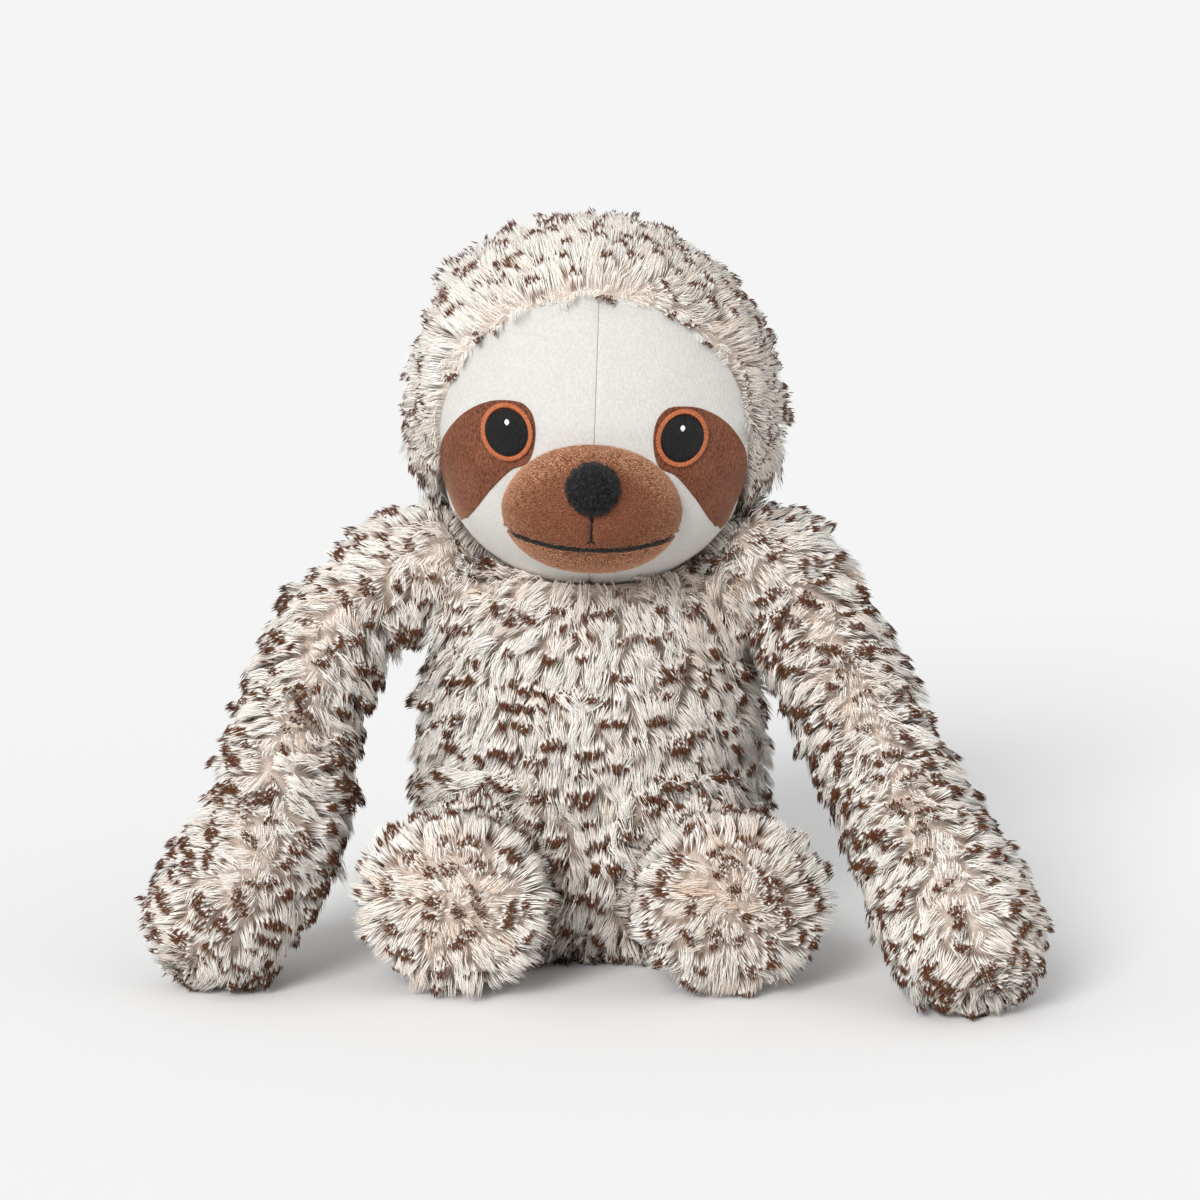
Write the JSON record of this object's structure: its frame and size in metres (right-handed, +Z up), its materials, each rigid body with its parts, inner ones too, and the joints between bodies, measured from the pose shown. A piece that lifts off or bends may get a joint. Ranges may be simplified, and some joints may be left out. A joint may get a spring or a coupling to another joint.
{
  "type": "plush sloth",
  "caption": "Seated plush sloth with speckled long-pile fur, a white short-plush face, padded muzzle, and a soft head and limbs that turn at their seams.",
  "frame": {"origin": "middle of the flat seat on which the toy sits", "axes": "+Z up, the toy faces -Y, +X towards the toy's own left, which is the viewer's right"},
  "size_m": [0.3235, 0.2089, 0.2699],
  "materials": {
    "fur": "long pile, cream with dark brown flecks",
    "sole_fur": "long pile, ruffled, taupe",
    "white_plush": "short plush",
    "brown_plush": "short plush",
    "tan_plush": "short plush",
    "black_plush": "short plush",
    "black_thread": "satin stitch",
    "rust_thread": "satin stitch",
    "white_thread": "satin stitch",
    "fibre": "polyester fibre",
    "bag_cloth": "woven cloth bag of pellets",
    "seam_cloth": "doubled seam allowance"
  },
  "bodies": {
    "torso": {"belly_panel": "fur", "back_panel": "fur", "seat_panel": "fur", "torso_stuffing": "fibre", "pellet_bag": "bag_cloth"},
    "neck": {"neck_seam": "seam_cloth"},
    "head": {"hood_left": "fur", "hood_right": "fur", "face_left": "white_plush", "face_right": "white_plush", "muzzle_upper": "brown_plush", "muzzle_lower": "tan_plush", "muzzle_stuffing": "fibre", "nose": "black_plush", "mouth_stitch": "black_thread", "philtrum_stitch": "black_thread", "head_stuffing": "fibre", "eye_patch_left": "brown_plush", "eye_ring_left": "rust_thread", "pupil_left": "black_thread", "eye_glint_left": "white_thread", "eye_patch_right": "brown_plush", "eye_ring_right": "rust_thread", "pupil_right": "black_thread", "eye_glint_right": "white_thread"},
    "shoulder_left": {"shoulder_left_seam": "seam_cloth"},
    "arm_left": {"arm_left_outer": "fur", "arm_left_inner": "fur", "arm_left_stuffing": "fibre"},
    "hip_left": {"hip_left_seam": "seam_cloth"},
    "leg_left": {"leg_left_skin": "fur", "foot_left_sole": "sole_fur", "leg_left_stuffing": "fibre"},
    "shoulder_right": {"shoulder_right_seam": "seam_cloth"},
    "arm_right": {"arm_right_outer": "fur", "arm_right_inner": "fur", "arm_right_stuffing": "fibre"},
    "hip_right": {"hip_right_seam": "seam_cloth"},
    "leg_right": {"leg_right_skin": "fur", "foot_right_sole": "sole_fur", "leg_right_stuffing": "fibre"}
  },
  "joints": [
    {"name": "neck_turn", "type": "hinge", "parent": "torso", "child": "neck", "pos_m": [0, 0.004, 0.165], "axis": [0, 0, 1], "range_deg": [-22, 22], "stiffness_Nm_per_rad": 0.15},
    {"name": "neck_nod", "type": "hinge", "parent": "neck", "child": "head", "pos_m": [0, 0.004, 0.165], "axis": [1, 0, 0], "range_deg": [-8, 8], "stiffness_Nm_per_rad": 0.3},
    {"name": "shoulder_left_swing", "type": "hinge", "parent": "torso", "child": "shoulder_left", "pos_m": [0.066, 0.002, 0.139], "axis": [1, 0, 0], "range_deg": [-95, 30], "stiffness_Nm_per_rad": 0.03},
    {"name": "shoulder_left_lift", "type": "hinge", "parent": "shoulder_left", "child": "arm_left", "pos_m": [0.066, 0.002, 0.139], "axis": [0, -1, 0], "range_deg": [0, 50], "stiffness_Nm_per_rad": 0.03},
    {"name": "hip_left_swing", "type": "hinge", "parent": "torso", "child": "hip_left", "pos_m": [0.038, -0.047, 0.033], "axis": [1, 0, 0], "range_deg": [-22, 20], "stiffness_Nm_per_rad": 0.05},
    {"name": "hip_left_spread", "type": "hinge", "parent": "hip_left", "child": "leg_left", "pos_m": [0.038, -0.047, 0.033], "axis": [0, 0, 1], "range_deg": [-12, 2], "stiffness_Nm_per_rad": 0.05},
    {"name": "shoulder_right_swing", "type": "hinge", "parent": "torso", "child": "shoulder_right", "pos_m": [-0.066, 0.002, 0.139], "axis": [1, 0, 0], "range_deg": [-95, 30], "stiffness_Nm_per_rad": 0.03},
    {"name": "shoulder_right_lift", "type": "hinge", "parent": "shoulder_right", "child": "arm_right", "pos_m": [-0.066, 0.002, 0.139], "axis": [0, 1, 0], "range_deg": [0, 50], "stiffness_Nm_per_rad": 0.03},
    {"name": "hip_right_swing", "type": "hinge", "parent": "torso", "child": "hip_right", "pos_m": [-0.038, -0.047, 0.033], "axis": [1, 0, 0], "range_deg": [-22, 20], "stiffness_Nm_per_rad": 0.05},
    {"name": "hip_right_spread", "type": "hinge", "parent": "hip_right", "child": "leg_right", "pos_m": [-0.038, -0.047, 0.033], "axis": [0, 0, -1], "range_deg": [-12, 2], "stiffness_Nm_per_rad": 0.05}
  ]
}
